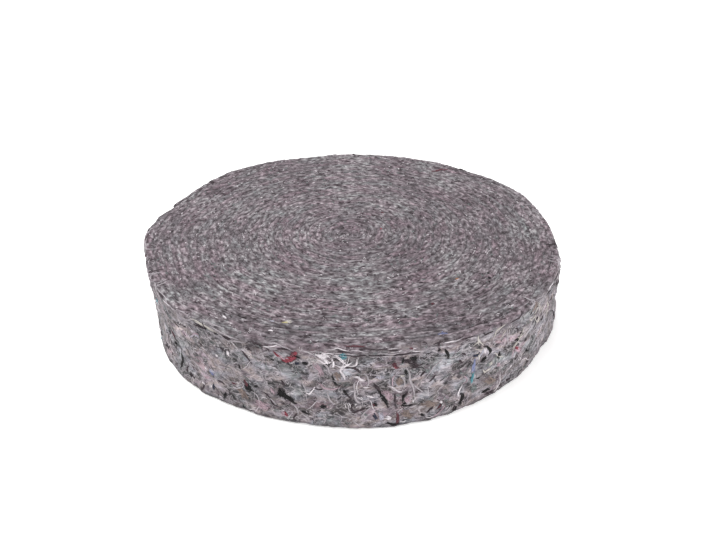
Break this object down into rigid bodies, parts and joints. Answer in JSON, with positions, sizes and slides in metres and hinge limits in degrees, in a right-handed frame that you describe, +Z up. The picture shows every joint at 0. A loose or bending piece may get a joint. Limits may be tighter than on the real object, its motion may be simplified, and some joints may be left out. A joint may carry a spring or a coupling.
{
  "type": "roll of felt",
  "caption": "Flat roll of a narrow, thick grey recycled-fibre felt strip, wound on itself without a core and lying on its side edges.",
  "frame": {"origin": "on the winding axis, on the surface that the roll lies on", "axes": "+Z up along the winding axis; +X to the right and +Y away, seen from the side that the picture shows"},
  "size_m": [0.2648, 0.2634, 0.0512],
  "materials": {
    "grey_recycled_felt": "needled felt of torn recycled fibres, matt and fuzzy, grey with mauve, white, black and coloured bits"
  },
  "bodies": {
    "root": {"felt_roll": "grey_recycled_felt"}
  },
  "joints": []
}
